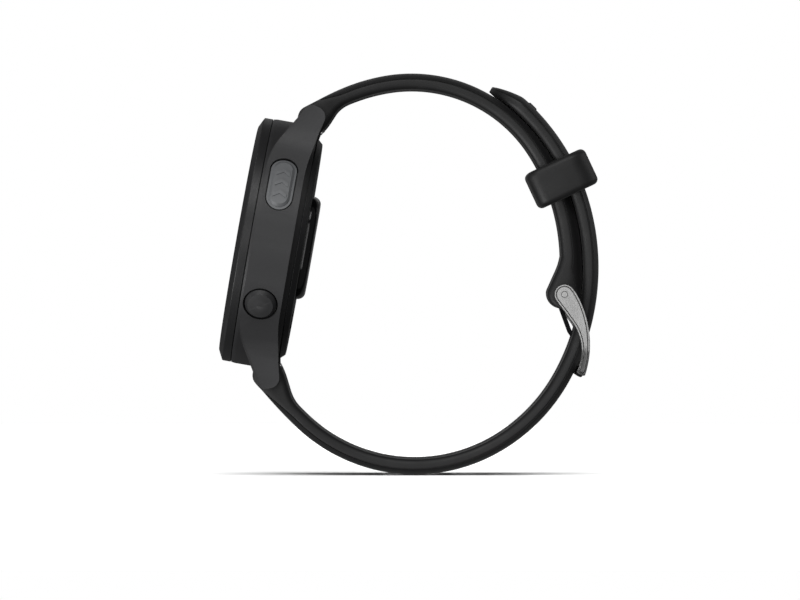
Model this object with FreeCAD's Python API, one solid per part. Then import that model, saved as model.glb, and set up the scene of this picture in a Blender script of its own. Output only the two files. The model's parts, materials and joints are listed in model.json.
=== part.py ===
import FreeCAD, Part
import os
from math import acos, asin, atan2, cos, degrees, hypot, pi, radians, sin, tan

V = FreeCAD.Vector

# GPS running watch with its band closed, standing on the lowest point of the band.
#
# Two sets of axes are used, in millimetres.
# Object axes: +X from the watch face towards the buckle, +Y from the key side with the
# start key to the far side, +Z up towards 12 o'clock.
# Watch axes: +X rearward from the front plane ("depth"), +Y as above, +Z towards
# 12 o'clock ("up"). The watch leans back by `tilt` about Y.

# ---------------------------------------------------------------- driving dimensions

tilt = 10.0
front_x = -29.72
front_z = 41.25

# watch body
bezel_radius = 21.5
bezel_face_radius = 19.8
bezel_chamfer = 0.85
bezel_rear = 2.33
seam_gap = 0.12
body_radius = 21.6
body_rear = 10.5
body_rear_radius = 19.55
cavity_radius = 18.2
shelf_depth = 4.0
skirt_radius = 20.4
lens_radius = 18.65
lens_front = 0.06
lens_thickness = 1.1
rear_plane = 11.58
rear_face_radius = 18.65
screw_circle = 16.85

# side plates that run into the lugs
plate_radius = 21.9
plate_front = 2.85
plate_rear = 9.65
lug_tip = 25.0
lug_inner = 10.15
lug_outer = 13.05
facet_size = 0.55

# keys: clock angle from 12 o'clock, positive towards the near side
key_depth = 6.03
key_angles = {"start": 61.0, "back": 119.0, "light": -61.0, "up": -90.0, "down": -119.0}
key_travel = 0.4
pocket_floor = 20.4
key_foot = pocket_floor + key_travel + 0.1
stem_radius = 0.9
stem_end = 17.3
start_length = 9.75
start_width = 4.45
start_key_top = 22.35
start_rim_step = 0.5
start_face_inset = 0.4
start_flank = 0.38
chevron_height = 0.15
chevron_pitch = 2.1
round_key_radius = 2.72
pocket_gap = 0.24
round_pocket_gap = 0.32
round_key_rim = 21.75
round_key_top = 22.5
round_key_flank = 0.5
round_key_dome = 0.14

# sensor bump on the rear cover
bump_half = 9.05
bump_top = 13.04
bump_up = 0.35

# band
band_half_width = 10.0
band_thickness = 2.8
hole_strap_thickness = 2.72
band_side = 1.7
flare_run = 1.95
bar_depth = 9.4
bar_up = 22.65
bar_radius = 0.9
lever_place = -7.6
pin_radius = 0.5
pin_reach = 11.6
release_travel = 1.5
hinge_relief = 3.1
tip_taper = 8.5
tip_thinning = 1.62
overlap_gap = 0.12
pad_half_width = 7.6
pad_depth = 1.6
pad_angles = (-5.5, 20.0)

# buckle end
buckle_pin = (26.96, 31.45)
buckle_boss = 1.8
frame_inner = 10.35
frame_outer = 11.85
end_bar_angles = (-24.6, -27.1)
pin_shaft = 0.5
tongue_half = 0.38
hole_pitch = 6.0
hole_length = 4.5
hole_width = 2.4
hole_angle = -19.06

# keeper loop
overlap_centre = (-8.0, 36.5)
keeper_angle = 25.0
keeper_place = 23.6
keeper_radius = 37.75
keeper_length = 6.65
keeper_height = 11.25
keeper_space = 6.9
keeper_half_width = 12.1
keeper_side = 1.75

# ---------------------------------------------------------------- helpers


def corner_path(corners, to_point):
    """Closed wire through corners (a, b) or (a, b, radius); a radius makes a tangent arc."""
    count = len(corners)
    cuts = []
    for index, corner in enumerate(corners):
        before = corners[index - 1]
        after = corners[(index + 1) % count]
        a, b = corner[0], corner[1]
        radius = corner[2] if len(corner) > 2 else 0.0
        in_length = hypot(a - before[0], b - before[1])
        out_length = hypot(after[0] - a, after[1] - b)
        u = ((before[0] - a) / in_length, (before[1] - b) / in_length)
        w = ((after[0] - a) / out_length, (after[1] - b) / out_length)
        if radius == 0.0:
            cuts.append(((a, b), None, (a, b)))
            continue
        half = acos(max(-1.0, min(1.0, u[0] * w[0] + u[1] * w[1]))) / 2
        trim = radius / tan(half)
        first = (a + u[0] * trim, b + u[1] * trim)
        last = (a + w[0] * trim, b + w[1] * trim)
        bisector = (u[0] + w[0], u[1] + w[1])
        size = hypot(bisector[0], bisector[1])
        reach = radius / sin(half) - radius
        middle = (a + bisector[0] / size * reach, b + bisector[1] / size * reach)
        cuts.append((first, middle, last))
    edges = []
    for index, (first, middle, last) in enumerate(cuts):
        if middle is not None:
            edges.append(Part.Arc(to_point(first), to_point(middle), to_point(last)).toShape())
        following = cuts[(index + 1) % count][0]
        if hypot(following[0] - last[0], following[1] - last[1]) > 1e-6:
            edges.append(Part.makeLine(to_point(last), to_point(following)))
    return Part.Wire(edges)


def side_slab(corners, low_y, high_y):
    """Outline in the X-Z plane, extruded from low_y to high_y."""
    wire = corner_path(corners, lambda p: V(p[0], low_y, p[1]))
    return Part.Face(wire).extrude(V(0, high_y - low_y, 0))


def front_slab(corners, low_x, high_x):
    """Outline in the Y-Z plane, extruded from low_x to high_x."""
    wire = corner_path(corners, lambda p: V(low_x, p[0], p[1]))
    return Part.Face(wire).extrude(V(high_x - low_x, 0, 0))


def turned(corners):
    """Solid turned about the watch axis from an outline of (depth, radius) corners."""
    wire = corner_path(corners, lambda p: V(p[0], 0, p[1]))
    return Part.Face(wire).revolve(V(0, 0, 0), V(1, 0, 0), 360)


def ring(inner, outer, low_x, high_x):
    return turned([(low_x, inner), (high_x, inner), (high_x, outer), (low_x, outer)])


def disc(radius, low_x, high_x, y=0.0, z=0.0):
    return Part.makeCylinder(radius, high_x - low_x, V(low_x, y, z), V(1, 0, 0))


def block(low, high):
    size = [high[i] - low[i] for i in range(3)]
    return Part.makeBox(size[0], size[1], size[2], V(*low))


def rod(radius, low_y, high_y, x, z):
    """Round bar along Y."""
    return Part.makeCylinder(radius, high_y - low_y, V(x, low_y, z), V(0, 1, 0))


def tube(inner, outer, low_y, high_y, x, z):
    return rod(outer, low_y, high_y, x, z).cut(rod(inner, low_y, high_y, x, z))


def square(half, radius, low_x, high_x, up):
    """Rounded square pad facing the watch axis, centred `up` above it."""
    corners = [(-half, up - half, radius), (half, up - half, radius),
               (half, up + half, radius), (-half, up + half, radius)]
    return front_slab(corners, low_x, high_x)


def mirrored_across(shape):
    """Copy mirrored from the near side to the far side."""
    return shape.mirror(V(0, 0, 0), V(0, 1, 0))


def joined(shapes):
    result = shapes[0]
    for shape in shapes[1:]:
        result = result.fuse(shape)
    return result.removeSplitter()


def watch_point(depth, up):
    """Object-axes (x, z) of a point given in watch axes."""
    lean = radians(tilt)
    return (front_x + depth * cos(lean) + up * sin(lean),
            front_z - depth * sin(lean) + up * cos(lean))


def place_watch(shape):
    """Move a shape from watch axes to object axes."""
    result = shape.copy()
    result.rotate(V(0, 0, 0), V(0, 1, 0), tilt)
    result.translate(V(front_x, 0, front_z))
    return result


def polar(centre, radius, angle):
    return (centre[0] + radius * cos(radians(angle)), centre[1] + radius * sin(radians(angle)))


# ---------------------------------------------------------------- front of the watch


def make_lens_glass():
    glass = disc(lens_radius, lens_front, lens_front + lens_thickness)
    return glass.makeChamfer(0.15, [glass.Edges[0]])


def make_bezel():
    ledge = lens_front + lens_thickness + 0.14
    return turned([
        (0.0, lens_radius + 0.08), (0.0, bezel_face_radius, 0.25),
        (bezel_chamfer, bezel_radius, 0.25), (bezel_rear, bezel_radius, 0.08),
        (bezel_rear, skirt_radius), (shelf_depth - 0.1, skirt_radius),
        (shelf_depth - 0.1, skirt_radius - 1.0), (2.4, skirt_radius - 1.0),
        (2.4, 17.4), (ledge, 17.4), (ledge, lens_radius + 0.08)])


def make_lens_gasket():
    back = lens_front + lens_thickness
    return ring(17.5, lens_radius - 0.1, back, back + 0.14)


def make_display_panel():
    back = lens_front + lens_thickness
    return disc(16.7, back, back + 1.15)


def make_display_flex():
    """Ribbon from the lower edge of the display to the main board."""
    ribbon = side_slab([(2.36, -14.6), (2.56, -14.6), (2.56, -12.2), (4.26, -12.2),
                        (4.26, -12.0), (2.36, -12.0)], -3.0, 3.0)
    return ribbon


def make_inner_frame():
    plate = disc(19.2, 2.62, 3.2)
    rim = ring(18.35, 19.2, 3.2, shelf_depth)
    slot = block((2.5, -3.4, -15.2), (3.3, 3.4, -11.4))
    return plate.fuse(rim).cut(slot).removeSplitter()


# ---------------------------------------------------------------- housing body


def turned_body():
    """Round middle of the housing, flat round the front and curving in to the rear."""
    drop = body_radius - body_rear_radius
    run = body_rear - 5.9
    radius = (run * run + drop * drop) / (2 * drop)
    half = asin(run / radius) / 2
    middle = (5.9 + radius * sin(half), body_radius - radius * (1 - cos(half)))
    front = bezel_rear + seam_gap
    points = [(front, cavity_radius), (front, body_radius - 0.1), (front + 0.6, body_radius),
              (5.9, body_radius)]
    edges = [Part.makeLine(V(a[0], 0, a[1]), V(b[0], 0, b[1])) for a, b in zip(points, points[1:])]
    edges.append(Part.Arc(V(5.9, 0, body_radius), V(middle[0], 0, middle[1]),
                          V(body_rear, 0, body_rear_radius)).toShape())
    edges.append(Part.makeLine(V(body_rear, 0, body_rear_radius), V(body_rear, 0, cavity_radius)))
    edges.append(Part.makeLine(V(body_rear, 0, cavity_radius), V(front, 0, cavity_radius)))
    return Part.Face(Part.Wire(edges)).revolve(V(0, 0, 0), V(1, 0, 0), 360)


def side_outline(forward):
    """Side view of one side plate with its two lugs; `forward` moves the lug fronts ahead."""
    upper = [(plate_front, 15.3 + forward, 10.8), (8.8 - forward, lug_tip + 0.05, 0.5),
             (11.75, 24.2, 1.8), (10.75, 20.2, 6.0), (plate_rear, 14.0, 20.0)]
    lower = [(corner[0], -corner[1], corner[2]) for corner in reversed(upper)]
    return upper + lower


def plan_outline(inset):
    """Front view of the near side plate, from its lugs round to 3 o'clock."""
    flare = (13.9 - inset, 19.0, 12.0)
    apex = plate_radius - inset
    crown = apex / cos(radians(32.3))
    return [(-lug_inner, lug_tip + 0.4), (-lug_outer + inset, lug_tip + 0.4),
            (-flare[0], flare[1], flare[2]), (-crown, 0.0, apex),
            (-flare[0], -flare[1], flare[2]), (-lug_outer + inset, -lug_tip - 0.4),
            (-lug_inner, -lug_tip - 0.4)]


def make_side_plate():
    """Near side plate: a proud outer layer on a slightly wider inner layer."""
    outer = side_slab(side_outline(0.0), -30.0, 0.0)
    outer = outer.common(front_slab(plan_outline(0.0), 0.0, 14.0))
    inner = side_slab(side_outline(facet_size), -30.0, 0.0)
    inner = inner.common(front_slab(plan_outline(facet_size), 0.0, 14.0))
    return outer.fuse(inner).removeSplitter()


def place_key(shape, angle):
    """Turn a key piece, made along +Z at 12 o'clock, to its clock angle."""
    result = shape.copy()
    result.rotate(V(0, 0, 0), V(1, 0, 0), angle)
    result.translate(V(key_depth, 0, 0))
    return result


def pill(length, width, low_z, high_z):
    """Pill-shaped prism standing along +Z, long across the depth axis."""
    straight = (length - width) / 2
    half = width / 2
    wire = Part.Wire([
        Part.makeLine(V(half, -straight, low_z), V(half, straight, low_z)),
        Part.Arc(V(half, straight, low_z), V(0, straight + half, low_z),
                 V(-half, straight, low_z)).toShape(),
        Part.makeLine(V(-half, straight, low_z), V(-half, -straight, low_z)),
        Part.Arc(V(-half, -straight, low_z), V(0, -straight - half, low_z),
                 V(half, -straight, low_z)).toShape()])
    return Part.Face(wire).extrude(V(0, 0, high_z - low_z))


def key_pocket(name):
    top = bezel_radius + 4.0
    if name == "start":
        well = pill(start_length + 2 * pocket_gap, start_width + 2 * pocket_gap, pocket_floor, top)
    else:
        well = Part.makeCylinder(round_key_radius + round_pocket_gap, top - pocket_floor,
                                 V(0, 0, pocket_floor))
    bore = Part.makeCylinder(stem_radius + 0.05, 6.0, V(0, 0, pocket_floor - 5.0))
    return place_key(well.fuse(bore), key_angles[name])


def make_housing_body():
    plate = make_side_plate()
    body = joined([turned_body(), plate, mirrored_across(plate)])
    body = body.cut(disc(cavity_radius, 0.0, 14.0))
    body = body.cut(disc(skirt_radius + 0.1, 0.0, shelf_depth))
    for up in (bar_up, -bar_up):
        relief = rod(hinge_relief, -lug_inner, lug_inner, bar_depth, up)
        body = body.cut(relief)
        body = body.cut(rod(pin_radius + 0.05, -pin_reach - 0.2, pin_reach + 0.2, bar_depth, up))
    for name in key_angles:
        body = body.cut(key_pocket(name))
    for y, z in screw_places():
        boss = disc(1.55, 5.4, body_rear, y, z).common(disc(cavity_radius + 0.3, 0.0, 14.0))
        body = body.fuse(boss).cut(disc(0.62, 6.2, body_rear, y, z))
    return body.removeSplitter()


# ---------------------------------------------------------------- keys


def make_start_cap():
    top = start_key_top
    prism = pill(start_length, start_width, key_foot, top + 1.0)
    cap = prism.common(disc(top - start_rim_step, -5.0, 5.0))
    plateau = pill(start_length - 2 * start_face_inset, start_width - 2 * start_face_inset,
                   key_foot, top + 1.0)
    plateau = plateau.common(disc(top, -5.0, 5.0))
    rim = [edge for edge in plateau.Edges if edge.BoundBox.ZMin > key_foot + 0.1]
    rim = [edge for edge in rim if edge.BoundBox.ZLength < 0.7]
    cap = cap.fuse(plateau.makeChamfer(start_flank, rim))
    for step in (-1, 0, 1):
        mark = chevron(step * chevron_pitch)
        cap = cap.fuse(mark.common(disc(top + chevron_height, -5.0, 5.0)))
    return cap.removeSplitter()


def chevron(place):
    """Raised grip mark on the start key, pointing to 12 o'clock."""
    corners = [(-1.15, place - 0.9), (0.0, place - 0.15), (1.15, place - 0.9),
               (1.15, place - 0.2), (0.0, place + 0.55), (-1.15, place - 0.2)]
    wire = corner_path(corners, lambda p: V(p[0], p[1], key_foot + 0.5))
    return Part.Face(wire).extrude(V(0, 0, 2.5))


def make_round_cap():
    """Cylinder with a sloping flank and a slightly domed face."""
    edge = round_key_radius - round_key_flank
    crown = round_key_top + round_key_dome
    sphere = (edge ** 2 + round_key_dome ** 2) / (2 * round_key_dome)
    half = asin(edge / sphere) / 2
    shoulder = V(sphere * sin(half), 0, crown - sphere * (1 - cos(half)))
    corners = [V(0, 0, key_foot), V(round_key_radius, 0, key_foot),
               V(round_key_radius, 0, round_key_rim), V(edge, 0, round_key_top)]
    edges = [Part.makeLine(a, b) for a, b in zip(corners, corners[1:])]
    edges.append(Part.Arc(corners[-1], shoulder, V(0, 0, crown)).toShape())
    edges.append(Part.makeLine(V(0, 0, crown), corners[0]))
    return Part.Face(Part.Wire(edges)).revolve(V(0, 0, 0), V(0, 0, 1), 360)


def make_key(name):
    """Cap with its stem, grooved for the seal and the clip."""
    cap = make_start_cap() if name == "start" else make_round_cap()
    stem = Part.makeCylinder(stem_radius, key_foot + 0.2 - stem_end, V(0, 0, stem_end))
    for low, high, waist in ((19.1, 19.55, 0.55), (17.82, 18.1, 0.6)):
        groove = Part.makeCylinder(stem_radius + 0.1, high - low, V(0, 0, low))
        groove = groove.cut(Part.makeCylinder(waist, high - low, V(0, 0, low)))
        stem = stem.cut(groove)
    return place_key(cap.fuse(stem).removeSplitter(), key_angles[name])


def make_key_seal(name):
    return place_key(Part.makeTorus(0.75, 0.18, V(0, 0, 19.325), V(0, 0, 1)), key_angles[name])


def make_key_clip(name):
    """Open ring that holds the stem inside the cavity."""
    clip = Part.makeCylinder(1.5, 0.2, V(0, 0, 17.86))
    clip = clip.cut(Part.makeCylinder(0.63, 0.2, V(0, 0, 17.86)))
    clip = clip.cut(block((0.0, -0.5, 17.8), (2.0, 0.5, 18.2)))
    return place_key(clip, key_angles[name])


def make_key_switches():
    switches = []
    for angle in key_angles.values():
        base = block((-1.5, -1.6, 15.95), (1.5, 1.6, 16.5))
        dome = Part.makeCylinder(0.8, 0.35, V(0, 0, 16.5))
        switches.append(place_key(base.fuse(dome), angle))
    return Part.makeCompound(switches)


# ---------------------------------------------------------------- inside


def screw_places():
    """Four screws, clear of the keys."""
    return [(screw_circle * sin(radians(a)), screw_circle * cos(radians(a)))
            for a in (32.0, 148.0, 212.0, 328.0)]


def make_main_board():
    return disc(15.6, 4.3, 5.1)


def make_shield_can():
    return block((5.12, -7.0, 8.3), (6.3, 7.0, 13.2)).cut(block((5.12, -6.8, 8.5), (6.1, 6.8, 13.0)))


def make_battery():
    return front_slab([(-9.5, -7.8, 1.0), (9.5, -7.8, 1.0), (9.5, 7.8, 1.0), (-9.5, 7.8, 1.0)],
                      5.4, 9.2)


def make_antenna_strip():
    """Curved strip under the 12 o'clock edge of the housing."""
    strip = ring(17.7, 18.1, 4.6, 8.4)
    half_angle = radians(22.0)
    reach = 30.0
    wedge = front_slab([(0.0, 0.0), (reach * sin(half_angle), reach * cos(half_angle)),
                        (-reach * sin(half_angle), reach * cos(half_angle))], 4.0, 9.0)
    return strip.common(wedge)


def make_vibration_motor():
    return disc(3.3, 6.5, 8.7, 0.0, 11.4)


def make_sounder():
    return disc(3.3, 5.3, 6.3, 0.0, -11.4)


# ---------------------------------------------------------------- rear of the watch


def make_rear_cover():
    lip = body_rear + 0.05
    cover = turned([(lip, 0.0), (rear_plane, 0.0), (rear_plane, rear_face_radius, 0.4),
                    (lip + 0.1, 19.5, 0.15), (lip, 19.4)])
    plug = ring(17.0, 17.7, 9.75, lip + 0.2)
    for y, z in screw_places():
        plug = plug.cut(disc(1.7, 9.0, lip, y, z))
    cover = cover.fuse(plug)
    cover = cover.cut(square(bump_half + 0.06, 5.5, rear_plane - 0.25, 12.0, bump_up))
    cover = cover.cut(square(7.9, 4.6, 9.0, 12.0, bump_up))
    cover = cover.cut(charge_outline(0.03, 9.0, 12.0))
    for y, z in screw_places():
        cover = cover.cut(disc(0.75, 9.0, 12.0, y, z))
        cover = cover.cut(disc(1.35, rear_plane - 0.55, 12.0, y, z))
    return cover.removeSplitter()


def make_rear_gasket():
    gasket = ring(17.72, 18.18, 9.9, 10.35)
    for y, z in screw_places():
        gasket = gasket.cut(disc(1.62, 9.0, 11.0, y, z))
    return gasket


def make_rear_screws():
    screws = []
    for y, z in screw_places():
        shank = disc(0.6, 7.4, rear_plane - 0.5, y, z)
        head = disc(1.25, rear_plane - 0.53, rear_plane - 0.03, y, z)
        recess = front_slab([(y + 0.5 * cos(radians(60 * i)), z + 0.5 * sin(radians(60 * i)))
                             for i in range(6)], rear_plane - 0.35, 12.0)
        screws.append(shank.fuse(head).cut(recess))
    return Part.makeCompound(screws)


def make_sensor_window():
    """Domed rounded-square cap over the sensor."""
    base = rear_plane - 0.23
    cap = square(bump_half, 5.5, base, bump_top, bump_up)
    top_edges = [e for e in cap.Edges if abs(e.BoundBox.XMin - bump_top) < 1e-4
                 and abs(e.BoundBox.XMax - bump_top) < 1e-4]
    cap = cap.makeFillet(1.25, top_edges)
    cap = cap.fuse(square(7.8, 4.5, 10.75, base + 0.1, bump_up))
    return cap.cut(square(6.8, 3.6, 10.7, 12.3, bump_up)).removeSplitter()


def make_sensor_board():
    return square(6.7, 3.5, 10.8, 11.3, bump_up)


def make_sensor_emitters():
    """Light emitters in the middle and light detectors round them."""
    chips = [block((11.3, y - 0.6, bump_up + z - 0.6), (11.8, y + 0.6, bump_up + z + 0.6))
             for y in (-1.1, 1.1) for z in (-1.1, 1.1)]
    for quarter in range(4):
        angle = radians(45 + 90 * quarter)
        y = 4.4 * cos(angle)
        z = bump_up + 4.4 * sin(angle)
        chips.append(block((11.3, y - 0.9, z - 0.9), (11.7, y + 0.9, z + 0.9)))
    return Part.makeCompound(chips)


def charge_outline(margin, low_x, high_x):
    half_length = 5.1 + margin
    half_height = 1.75 + margin
    up = -12.75
    corners = [(-half_length, up - half_height, 1.0), (half_length, up - half_height, 1.0),
               (half_length, up + half_height, 1.0), (-half_length, up + half_height, 1.0)]
    return front_slab(corners, low_x, high_x)


def contact_places():
    return [-3.3 + 2.2 * i for i in range(4)]


def make_charge_block():
    insert = charge_outline(0.0, 10.3, rear_plane - 0.02)
    insert = insert.cut(charge_outline(-0.45, rear_plane - 0.6, 12.0))
    for y in contact_places():
        insert = insert.cut(disc(0.52, 10.0, 12.0, y, -12.75))
    return insert


def make_charge_contacts():
    pins = []
    for y in contact_places():
        pin = disc(0.5, 10.1, rear_plane - 0.3, y, -12.75)
        pins.append(pin.fuse(disc(0.75, 10.0, 10.25, y, -12.75)))
    return Part.makeCompound(pins)


# ---------------------------------------------------------------- band


def band_path(start, angle, arcs, turn):
    """Tangent arcs of the outer surface: (centre, radius, start angle, end angle) for each.

    `angle` is the direction of the outward normal at the start, and `turn` is -1 where the
    band runs clockwise as seen from the near side.
    """
    path = []
    point = start
    for radius, sweep in arcs:
        centre = polar(point, -radius, angle)
        end = angle + turn * sweep
        path.append((centre, radius, angle, end))
        point = polar(centre, radius, end)
        angle = end
    return path


upper_path = band_path((-15.73, 65.21), 120.7, ((34.07, 20.57), (27.17, 67.35), (37.62, 31.0)), -1)
lower_path = band_path((-25.37, 14.63), -140.91,
                       ((68.88, 6.99), (29.82, 75.5), (32.07, 29.33), (40.88, 49.24),
                        (37.96, 37.0)), 1)


def band_section(centre, radius, angle, thickness):
    """Crowned section of the band in the plane through an arc's axis."""
    inner = radius - thickness
    side = inner + band_side
    top = radius

    def point(across, height):
        x, z = polar(centre, height, angle)
        return V(x, across, z)

    half = band_half_width
    shoulder = side + (top - side) * 0.75
    edges = [
        Part.makeLine(point(-half + 0.35, inner), point(half - 0.35, inner)),
        Part.makeLine(point(half - 0.35, inner), point(half, inner + 0.35)),
        Part.makeLine(point(half, inner + 0.35), point(half, side)),
        Part.Arc(point(half, side), point(half - 1.7, shoulder), point(half - 5.0, top)).toShape(),
        Part.makeLine(point(half - 5.0, top), point(-half + 5.0, top)),
        Part.Arc(point(-half + 5.0, top), point(-half + 1.7, shoulder),
                 point(-half, side)).toShape(),
        Part.makeLine(point(-half, side), point(-half, inner + 0.35)),
        Part.makeLine(point(-half, inner + 0.35), point(-half + 0.35, inner))]
    return Part.Face(Part.Wire(edges))


def band_run(path, thickness):
    runs = []
    for centre, radius, start, end in path:
        face = band_section(centre, radius, start, thickness)
        runs.append(face.revolve(V(centre[0], 0, centre[1]), V(0, 1, 0), start - end))
    return joined(runs)


def band_root(path, side, flare_angle, heel):
    """Thick end of a strap round its spring bar; side is 1 at 12 o'clock, -1 at 6 o'clock."""
    centre, radius, start, end = path[0]
    thickness = band_thickness if side > 0 else hole_strap_thickness
    outer = polar(centre, radius - 0.02, start)
    middle = polar(centre, radius - thickness / 2, flare_angle)
    inner = polar(centre, radius - thickness, flare_angle)
    back = radians(flare_angle) + side * pi / 2
    bend = (inner[0] + flare_run * cos(back), inner[1] + flare_run * sin(back))
    toe = watch_point(6.62, side * 21.9)
    brow = watch_point(6.62, side * 23.75)
    rear = watch_point(heel[0], side * heel[1])
    foot = watch_point(10.95, side * 20.35)
    corners = [toe + (0.5,), brow + (1.2,), outer, middle, inner, bend + (2.6,), rear + (2.0,),
               foot + (0.5,)]
    if side > 0:
        corners.reverse()
    return side_slab(corners, -band_half_width, band_half_width)


def station(path, index, angle, distance):
    """Centre, radius and angle of the point `distance` along the middle of the band."""
    turn = 1 if path[0][3] > path[0][2] else -1
    while True:
        centre, radius, start, end = path[index]
        middle = radius - band_thickness / 2
        edge = end if distance > 0 else start
        room = (edge - angle) * turn * radians(1) * middle
        if abs(distance) <= abs(room):
            return centre, radius, angle + turn * degrees(distance / middle)
        distance -= room
        angle = edge
        index += 1 if distance > 0 else -1


def band_hole(centre, radius, angle):
    """Long hole through the band, rounded at both ends."""
    reach = radius + 1.0
    low = radius - band_thickness - 1.0
    hole = pill(hole_length, hole_width, low, reach)
    hole.rotate(V(0, 0, 0), V(0, 0, 1), 90)
    hole.rotate(V(0, 0, 0), V(0, 1, 0), 90 - angle)
    hole.translate(V(centre[0], 0, centre[1]))
    return hole


def bar_place(side):
    return watch_point(bar_depth, side * bar_up)


def lever_angle(side):
    """Direction from the spring bar to the knob of its release lever."""
    x, z = bar_place(side)
    knob = watch_point(bar_depth + 1.77, side * (bar_up - 2.2))
    return degrees(atan2(knob[1] - z, knob[0] - x))


def bar_room(side):
    """Bore for the spring bar, with the notch in which its lever slides."""
    x, z = bar_place(side)
    bore = rod(bar_radius + 0.04, -11.0, 11.0, x, z)
    notch = Part.makeBox(6.0, 2 * 0.8 + release_travel + 0.2, 2.0, V(0, lever_place - 0.8, -1.0))
    notch.rotate(V(0, 0, 0), V(0, 1, 0), -lever_angle(side))
    notch.translate(V(x, 0, z))
    return bore.fuse(notch)


def make_hole_strap():
    root = band_root(lower_path, -1, -135.2, (11.95, 21.7))
    band = root.fuse(band_run(lower_path, hole_strap_thickness))
    for step in range(-7, 6):
        band = band.cut(band_hole(*station(lower_path, 3, hole_angle, step * hole_pitch)))
    return band.cut(bar_room(-1)).cut(tip_trim()).removeSplitter()


def tip_trim():
    """Wedge taken off the outer surface so that the tip of the long strap thins out."""
    centre, radius, start, end = lower_path[-1]
    begin = polar(centre, radius + 0.01, end - tip_taper)
    above = polar(centre, radius + 4.0, end - tip_taper)
    beyond = polar(centre, radius + 4.0, end + 4.0)
    past = polar(centre, radius - 2.3, end + 3.0)
    thin = polar(centre, radius - tip_thinning, end)
    return side_slab([begin, above, beyond, past, thin], -12.0, 12.0)


def overlap_pad():
    """Raised middle of the short strap where it fills the space under the long strap."""
    centre, radius, start, end = lower_path[3]
    outer = radius - hole_strap_thickness - overlap_gap
    inner = outer - pad_depth
    low, high = pad_angles
    face = Part.makePlane(outer - inner, 2 * pad_half_width, V(inner, -pad_half_width, 0),
                          V(0, 0, 1))
    face.rotate(V(0, 0, 0), V(0, 1, 0), -low)
    pad = face.revolve(V(0, 0, 0), V(0, 1, 0), low - high)
    pad.translate(V(centre[0], 0, centre[1]))
    return pad


def make_buckle_strap():
    root = band_root(upper_path, 1, 112.4, (12.0, 22.0))
    band = root.fuse(band_run(upper_path, band_thickness))
    x, z = buckle_pin
    knuckle = rod(2.75, -band_half_width, band_half_width, x - 0.15, z + 0.2)
    centre, radius, start, end = upper_path[-1]
    neck_outer = polar(centre, radius - 0.1, end + 1.5)
    neck_middle = polar(centre, radius - 1.4, end + 3.0)
    neck_inner = polar(centre, radius - band_thickness, end + 1.5)
    neck = side_slab([neck_outer, neck_middle, neck_inner, (x - 0.7, z + 5.4, 6.0),
                      (x - 2.9, z + 1.5), (x - 1.6, z - 1.0), (x + 2.3, z - 0.6)],
                     -band_half_width, band_half_width)
    band = band.fuse(neck).fuse(knuckle).fuse(overlap_pad())
    band = band.cut(rod(pin_shaft + 0.05, -12.0, 12.0, x, z))
    gap = rod(3.6, -1.35, 1.35, x - 0.15, z + 0.2)
    band = band.cut(gap)
    return band.cut(bar_room(1)).removeSplitter()


# ---------------------------------------------------------------- keeper and buckle


def place_keeper(shape):
    """Move a keeper piece, made about its radial axis +X, to its place on the band."""
    result = shape.copy()
    x, z = polar(overlap_centre, keeper_radius, keeper_place)
    result.rotate(V(0, 0, 0), V(0, 1, 0), -keeper_angle)
    result.translate(V(x, 0, z))
    return result


def make_keeper():
    half_height = keeper_height / 2
    half_length = keeper_length / 2
    wide = keeper_half_width
    corners = [(-half_height, -half_length, 1.0), (half_height, -half_length, 1.0),
               (half_height, half_length, 1.0), (-half_height, half_length, 1.0)]
    loop = side_slab(corners, -wide, wide)
    end_view = Part.Wire([corner_path([(-half_height, -wide, 2.2), (half_height, -wide, 3.4),
                                       (half_height, wide, 3.4), (-half_height, wide, 2.2)],
                                      lambda p: V(p[0], p[1], -half_length))])
    loop = loop.common(Part.Face(end_view).extrude(V(0, 0, keeper_length)))
    space = Part.makeBox(keeper_space, 2 * (wide - keeper_side), 20.0,
                         V(-keeper_space / 2, keeper_side - wide, -10.0))
    return place_keeper(loop.cut(space))


def frame_arm_outline():
    """Corners of one arm of the buckle, from its boss down to the end bar."""
    x, z = buckle_pin
    outer_centre = (13.5, 22.73)
    outer_radius = 17.89
    top = polar(outer_centre, outer_radius, 32.2)
    middle = polar(outer_centre, outer_radius, 8.0)
    bottom = polar(outer_centre, outer_radius, -17.5)
    edges = [
        Part.Arc(V(top[0], 0, top[1]), V(middle[0], 0, middle[1]),
                 V(bottom[0], 0, bottom[1])).toShape(),
        Part.makeLine(V(bottom[0], 0, bottom[1]), V(29.0, 0, 17.9)),
        Part.Arc(V(29.0, 0, 17.9), V(29.85, 0, 22.7), V(28.1, 0, 26.9)).toShape(),
        Part.makeLine(V(28.1, 0, 26.9), V(x - 1.46, 0, z - 1.05)),
        Part.makeLine(V(x - 1.46, 0, z - 1.05), V(top[0], 0, top[1]))]
    return Part.Face(Part.Wire(edges))


def make_buckle_frame():
    x, z = buckle_pin
    thickness = frame_outer - frame_inner
    arm = frame_arm_outline()
    arm.translate(V(0, frame_inner, 0))
    far_arm = arm.extrude(V(0, thickness, 0)).fuse(rod(buckle_boss, frame_inner, frame_outer, x, z))
    far_arm = far_arm.removeSplitter()
    rim = [e for e in far_arm.Edges if e.BoundBox.YMin > frame_outer - 1e-4]
    far_arm = far_arm.makeChamfer(0.3, rim)
    near_arm = mirrored_across(far_arm)
    frame = joined([far_arm, near_arm, end_bar()])
    frame = frame.cut(rod(pin_shaft, -12.0, 12.0, x, z))
    return frame.removeSplitter()


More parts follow.
